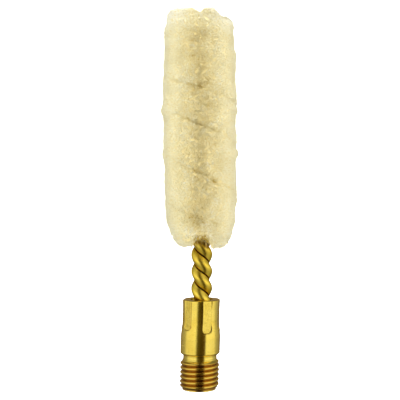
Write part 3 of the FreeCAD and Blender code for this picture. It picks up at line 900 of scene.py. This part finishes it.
def grow_fibres(rng, tufts, owner, step):
    """Points and tone of every fibre; owner is the tuft each fibre belongs to."""
    count = len(owner)
    worn = tufts.worn[owner]
    reach = 0.5 * step * np.sqrt(rng.uniform(0, 1, count)) * 1.25
    heading = rng.uniform(0, FULL_TURN, count)
    # place in the tuft, in mm round the axis and along the outline
    off_round, off_along = reach * np.cos(heading), reach * np.sin(heading)
    flying = rng.uniform(0, 1, count) < tufts.fly_share[owner]

    def stray(spread, fly_spread, shape):
        return (rng.normal(0, spread, shape)
                + np.where(flying, rng.normal(0, fly_spread, shape), 0))

    angle = tufts.angle[owner] + (off_round * 0.9) / np.maximum(tufts.r, 0.4)[owner]
    length = np.clip(tufts.length[owner] + off_along * 0.9, 0.0, LENGTH[-1] - 0.01)
    r, z, normal_r, normal_z = surface_point(angle, length)
    # tufts are domed: their outer fibres end lower
    extra = tufts.height[owner] + rng.normal(0, 0.05, count) - 0.35 * reach**2 / (0.5 * step)
    extra = extra + np.where(flying, rng.uniform(0.08, 0.42, count), 0)
    fibre_length = np.minimum(2.1, np.maximum(0.7, r - 1.2))
    lean_round = tufts.lean_round[owner] + stray(0.10, 0.30, count)
    lean_along = tufts.lean_along[owner] + stray(0.10, 0.30, count)
    curl = stray(0.05, 0.12, (2, count))

    # unit vectors: outward, round the axis, along the outline
    cos_a, sin_a = np.cos(angle), np.sin(angle)
    outward = np.stack([normal_r * cos_a, normal_r * sin_a, normal_z], 1)
    around = np.stack([-sin_a, cos_a, 0 * cos_a], 1)
    along = np.stack([-normal_z * cos_a, -normal_z * sin_a, normal_r], 1)
    tip = np.stack([r * cos_a + lookup(PILE_SHIFT, z), r * sin_a, z], 1)
    tip = tip + outward * extra[:, None]

    # stations from root to tip: place along the fibre, spread of the tuft there
    stations = []
    tip_spread = 0.75
    for t, spread in ((0.0, 1.25), (0.5, 1.0), (0.82, 0.85), (1.0, tip_spread)):
        wider = spread - tip_spread
        bend = (1 - t)**1.6
        bow = math.sin(t * math.pi)
        stations.append(
            tip - outward * ((1 - t) * fibre_length)[:, None]
            + around * (wider * off_round - bend * lean_round * fibre_length * 0.5
                        + bow * curl[0])[:, None]
            + along * (wider * off_along - bend * lean_along * fibre_length * 0.5
                       + bow * curl[1])[:, None])

    width = np.where(flying, 0.026, 0.047 + 0.012 * (1 - worn)) * rng.uniform(0.8, 1.2, count)
    axis = tip - stations[1]
    axis /= np.linalg.norm(axis, axis=1)[:, None]
    side = around - axis * np.sum(around * axis, 1)[:, None]
    side /= np.linalg.norm(side, axis=1)[:, None]
    points = fibre_points(stations, side, np.cross(axis, side), width, taper=(0.9, 1.0, 0.8),
                          spin=rng.uniform(0, FULL_TURN, count))

    # painted shade: fibres down in the furrows and pits are darker
    tone = (tufts.tone[owner] + (0.02 + 0.045 * worn) * rng.normal(0, 1, count)
            + 0.30 * np.minimum(relief(angle, z), 0.1))
    # flying fibres near the wire get painted shade too
    wire_shade = np.maximum(tufts.near_wire, tufts.entry_shade)[owner]
    tone = np.where(flying, 0.70 - 0.14 * worn - 0.58 * wire_shade, tone)
    return points, np.clip(tone, 0.10 - 0.07 * tufts.near_wire[owner], 0.98)


def core_rings(box, is_first, is_last):
    """Outer rings of one piece of the core, which lies below the pile's surface."""
    low_z, high_z = box[0].z / MM - 0.03, box[1].z / MM + 0.03
    flank = (OUT_R > 5.6) & (OUT_Z < 75.4)

    def length_at(z):
        return float(np.interp(z, OUT_Z[flank], LENGTH[flank]))

    start = 0.7 if is_first else length_at(low_z)
    end = LENGTH[-1] - 0.9 if is_last else length_at(high_z)
    count = 34 if is_last else (26 if is_first else 9)
    rings = []
    for length in np.linspace(start, end, count):
        r, z, normal_r, normal_z = surface_point(CORE_ANGLES, np.full(CORE_SIZE, length))
        depth = 0.40 + 0.45 * wear(CORE_ANGLES)
        r = np.maximum(r - normal_r * depth, 0.25)
        z = z - normal_z * depth
        if is_first:
            z = np.minimum(z, high_z)
            r = np.maximum(r, 2.75)
        elif not is_last:
            z = np.full(CORE_SIZE, float(at_length(length, OUT_Z)))
        rings.append(np.stack([r * np.cos(CORE_ANGLES) + lookup(PILE_SHIFT, z),
                               r * np.sin(CORE_ANGLES), z], 1))
    return rings


def build_core(box, first, is_first, is_last):
    """The dense yarn below the surface: points, faces from index first, fibre data."""
    rings = core_rings(box, is_first, is_last)
    faces = [tube_faces(first, len(rings), CORE_SIZE).reshape(-1, 3)]
    if is_last:
        # the top piece is closed at both ends
        centre_x = lookup(PILE_SHIFT, 75.0)
        ends = [[(centre_x, 0, rings[i][:, 2].mean()) for i in (0, -1)]]
        faces.append(cap_faces(first, len(rings), CORE_SIZE))
    else:
        # the others are closed round a hole for the wire
        low, high = (np.stack([CORE_HOLE_R * np.cos(CORE_ANGLES),
                               CORE_HOLE_R * np.sin(CORE_ANGLES), rings[i][:, 2]], 1)
                     for i in (0, -1))
        ends = [rings[-1], high, low, rings[0]]
        inner_first = first + len(rings) * CORE_SIZE
        faces.append(tube_faces(inner_first, len(ends), CORE_SIZE).reshape(-1, 3))
    points = np.concatenate(rings + ends)
    flank_amount = flank_weight(wear(np.arctan2(points[:, 1], points[:, 0])))
    # the core is all in painted shade (third value 1); its tone and place from root to tip shift
    # at the flanks
    data = np.stack([0.48 + 0.07 * flank_amount, 0.62 - 0.17 * flank_amount, np.ones(len(flank_amount))], 1)
    return points, np.concatenate(faces), data


def build_wool(material):
    """The pile, cut at the heights of the CAD bundles, the last one also in quarters."""
    rng = np.random.default_rng(20240611)
    names = sorted(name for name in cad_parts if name.startswith("wool_bundle_"))
    boxes = [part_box(name) for name in names]
    step = 0.335         # distance between tufts
    per_tuft = 9
    tufts = make_tufts(rng, step)
    owner = np.repeat(np.arange(len(tufts.angle)), per_tuft)
    points, tone = grow_fibres(rng, tufts, owner, step)
    # how much painted shade each fibre gets
    flank_amount = flank_weight(tufts.worn[owner])

    tops = np.array([box[1].z / MM for box in boxes[:-1]])
    bundle = np.searchsorted(tops + 0.025, tufts.z[owner])
    bundle[tufts.length[owner] < WIRE_HOLE_LENGTH] = 0
    quarter = ((tufts.angle[owner] % FULL_TURN) / (math.pi / 2)).astype(int) % 4
    for i, (name, box) in enumerate(zip(names, boxes)):
        is_last = i == len(names) - 1
        groups = [("", bundle == i)]
        if is_last:
            groups = [("_" + "abcd"[q], (bundle == i) & (quarter == q)) for q in range(4)]
        for suffix, picked in groups:
            piece_points = points[picked].reshape(-1, 3)
            faces = fibre_faces(np.count_nonzero(picked))
            data = fibre_data(tone[picked], (0.02, 0.45, 0.80, 0.99), flank_amount[picked])
            if suffix in ("", "_a"):
                core = build_core(box, len(piece_points), i == 0, is_last)
                piece_points, faces, data = (
                    np.concatenate(pair) for pair in zip((piece_points, faces, data), core))
            wool_object(name.replace("wool_bundle", "wool_pile") + suffix,
                        piece_points, faces, data, material, piece=name)


def build_wisps(material):
    """Loose fibres that hang over the wire where it enters the pile."""
    rng = np.random.default_rng(77)
    count = 760
    root_angle = rng.uniform(0, FULL_TURN, count)
    root_r = rng.uniform(2.35, 3.5, count)
    root_z = rng.uniform(31.2, 32.8, count)
    tip_r = np.clip(root_r + rng.normal(-0.25, 0.32, count), 2.22, 3.2)
    tip_z = root_z - np.abs(rng.normal(1.1, 0.75, count)) - 0.45
    # they hang lower at the flanks
    tip_z = tip_z - 0.5 * np.abs(np.cos(root_angle))
    tip_angle = root_angle + rng.normal(0, 0.16, count)
    bow = rng.normal(0, 0.10, count)
    stations = []
    for t in (0, 0.35, 0.7, 1.0):
        r = root_r + (tip_r - root_r) * t + 0.12 * math.sin(t * math.pi) + bow * math.sin(t * 3.0)
        angle = root_angle + (tip_angle - root_angle) * t
        z = root_z + (tip_z - root_z) * t
        stations.append(
            np.stack([r * np.cos(angle) + lookup(STEM_SHIFT, z), r * np.sin(angle), z], 1))
    width = rng.uniform(0.018, 0.034, count)
    cos_a, sin_a = np.cos(root_angle), np.sin(root_angle)
    points = fibre_points(
        stations, side=np.stack([-sin_a, cos_a, 0 * cos_a], 1),
        up=np.stack([cos_a, sin_a, 0 * cos_a], 1),
        width=width, taper=(1.0, 1.0, 0.75), spin=np.full(count, 0.4))
    # three in ten are pale, the rest darker and golden with painted shade
    tone = np.where(rng.uniform(0, 1, count) < 0.30, rng.uniform(0.30, 0.55, count),
                    np.clip(rng.normal(0.17, 0.08, count), 0.02, 0.36))
    data = fibre_data(tone, (0.0, 0.05, 0.12, 0.2), np.zeros(count))
    wool_object("wool_wisps", points.reshape(-1, 3), fibre_faces(count), data, material,
                piece="wool_bundle_01")


# ------------------------------------------------------------------ stage
def paper_material():
    material, tree, shader = new_material("floor_paper")
    grain = noise_texture(tree, object_coords(tree), scale=900, detail=2.0)
    tree.links.new(ramp(tree, grain, [(0.3, 0.93), (0.7, 0.96)]), shader.inputs["Base Color"])
    shader.inputs["Roughness"].default_value = 0.9
    # glows faintly, and more strongly where the camera sees it
    shader.inputs["Emission Color"].default_value = (1, 1, 1, 1)
    rays = tree.nodes.new("ShaderNodeLightPath")
    glow = calc(tree, "MULTIPLY_ADD", rays.outputs["Is Camera Ray"], 0.75, 0.12)
    tree.links.new(glow, shader.inputs["Emission Strength"])
    return material


def build_stage():
    """Plain pale floor that sweeps up behind the object."""
    half_width, front_y, sweep_y, sweep_r, top_z = 1.6, -1.2, 0.5, 0.5, 2.2
    segments = 24
    outline = [(front_y, 0.0), (sweep_y, 0.0)]
    for i in range(1, segments + 1):
        angle = math.pi / 2 * i / segments
        outline.append((sweep_y + sweep_r * math.sin(angle), sweep_r - sweep_r * math.cos(angle)))
    outline.append((sweep_y + sweep_r, top_z))
    points = np.array([(x, y, z) for y, z in outline for x in (-half_width, half_width)]) / MM
    points[:, 2] -= 0.02            # just clear of the ferrule
    faces = [(2 * i - 2, 2 * i - 1, 2 * i + 1, 2 * i) for i in range(1, len(outline))]
    ob = mesh_object("floor", points, faces)
    ob.data.materials.append(paper_material())
    ob.visible_glossy = False


# Light of the room by direction. Azimuth is in degrees: 0 towards the camera, positive
# to the right. Height runs from 0, straight down, to 1, straight up.
MIRRORED_AZIMUTH = [
    (-180, (0.27, 0.20, 0.11)), (-140, (0.31, 0.27, 0.20)), (-118, 0.42), (-99, 0.54),
    (-87, 0.98), (-60, 1.12), (-29, 1.18), (-22, 0.50), (-17, (0.12, 0.10, 0.01)),
    (4, (0.06, 0.038, 0.003)), (25, (0.11, 0.070, 0.004)), (30, 0.60), (35, 1.27),
    (60, 1.22), (88, 1.10), (100, 0.66), (125, 0.42), (145, (0.28, 0.24, 0.17)),
    (180, (0.27, 0.20, 0.11))]
MIRRORED_HEIGHT = [(0.0, 0.25), (0.30, 0.60), (0.45, 1.0), (0.62, 1.0), (0.85, 0.45), (1.0, 0.35)]
DIFFUSE_AZIMUTH = [
    (-180, 0.34), (-120, (0.30, 0.31, 0.30)), (-70, (0.30, 0.325, 0.31)),
    (-28, (2.16, 2.20, 2.14)), (28, (2.26, 2.14, 1.92)), (70, (0.35, 0.31, 0.24)),
    (120, (0.32, 0.30, 0.26)), (180, 0.34)]
DIFFUSE_HEIGHT = [(0.0, 0.75), (0.5, 1.0), (0.75, 1.05), (1.0, 1.25)]
DIFFUSE_LEVEL = 0.80


def build_world():
    """White room with soft boxes at both sides and the dark camera end between them."""
    world = bpy.data.worlds.new("studio")
    bpy.context.scene.world = world
    world.use_nodes = True
    tree = world.node_tree
    tree.nodes.clear()
    output = tree.nodes.new("ShaderNodeOutputWorld")
    coords = tree.nodes.new("ShaderNodeTexCoord")
    split = tree.nodes.new("ShaderNodeSeparateXYZ")
    tree.links.new(coords.outputs["Generated"], split.inputs[0])
    x, y, z = split.outputs
    angle = calc(tree, "ARCTAN2", x, calc(tree, "MULTIPLY", y, -1.0))
    azimuth = calc(tree, "MULTIPLY_ADD", angle, 1 / FULL_TURN, 0.5)
    height = calc(tree, "MULTIPLY_ADD", z, 0.5, 0.5)

    def room(azimuth_stops, height_stops):
        stops = [(0.5 + degrees / 360.0, colour) for degrees, colour in azimuth_stops]
        around = ramp(tree, azimuth, stops)
        return tint(tree, around, ramp(tree, height, height_stops))

    mirrored = room(MIRRORED_AZIMUTH, MIRRORED_HEIGHT)
    diffuse = room(DIFFUSE_AZIMUTH, DIFFUSE_HEIGHT)
    diffuse = tint(tree, diffuse, (DIFFUSE_LEVEL,) * 3)
    rays = tree.nodes.new("ShaderNodeLightPath")
    colour = mix(tree, diffuse, mirrored, factor=rays.outputs["Is Glossy Ray"])
    colour = mix(tree, colour, (1.0, 1.0, 1.0), factor=rays.outputs["Is Camera Ray"])
    background = tree.nodes.new("ShaderNodeBackground")
    tree.links.new(colour, background.inputs["Color"])
    background.inputs["Strength"].default_value = 1.0
    tree.links.new(background.outputs[0], output.inputs["Surface"])


def add_area_light(name, location, target, size, power, color=(1, 1, 1)):
    light = bpy.data.lights.new(name, "AREA")
    light.shape = "RECTANGLE"
    light.size, light.size_y = size
    light.energy = power
    light.color = color
    ob = bpy.data.objects.new(name, light)
    ob.location = location
    ob.rotation_mode = "QUATERNION"
    ob.rotation_quaternion = (Vector(target) - Vector(location)).to_track_quat("-Z", "Y")
    ob.visible_glossy = False
    bpy.context.scene.collection.objects.link(ob)


def build_lights():
    middle = (0, 0, 0.045)
    # a cool light on the left and a warm one on the right
    for name, x, color in (("soft_left", -0.38, (0.95, 1.0, 1.0)),
                           ("soft_right", 0.38, (1.0, 0.94, 0.82))):
        add_area_light(name, location=(x, -0.20, 0.16), target=middle, size=(0.25, 0.4),
                       power=0.08, color=color)
    add_area_light("soft_top", location=(0.0, -0.12, 0.5), target=(0, 0, 0.04),
                   size=(0.4, 0.4), power=1.45)
    add_area_light("soft_front", location=(0.0, -0.50, 0.10), target=middle,
                   size=(0.5, 0.5), power=3.15)


def build_camera():
    """Camera in front of the object, looking slightly down."""
    tilt_down = 1.79        # degrees
    lens = bpy.data.cameras.new("camera")
    lens.sensor_width = 36.0
    lens.lens = 89.361
    lens.clip_start, lens.clip_end = 0.01, 20
    lens.shift_x = -0.00125
    camera = bpy.data.objects.new("camera", lens)
    camera.location = (0.0, -0.200, 0.04454)
    camera.rotation_mode = "XYZ"
    camera.rotation_euler = (math.radians(90 - tilt_down), 0, 0)
    scene = bpy.context.scene
    scene.collection.objects.link(camera)
    scene.camera = camera
    scene.view_settings.view_transform = "Standard"
    scene.view_settings.look = "None"


build_ferrule()
build_wire()
wool = wool_material()
build_wool(wool)
build_wisps(wool)
build_stage()
build_world()
build_lights()
build_camera()
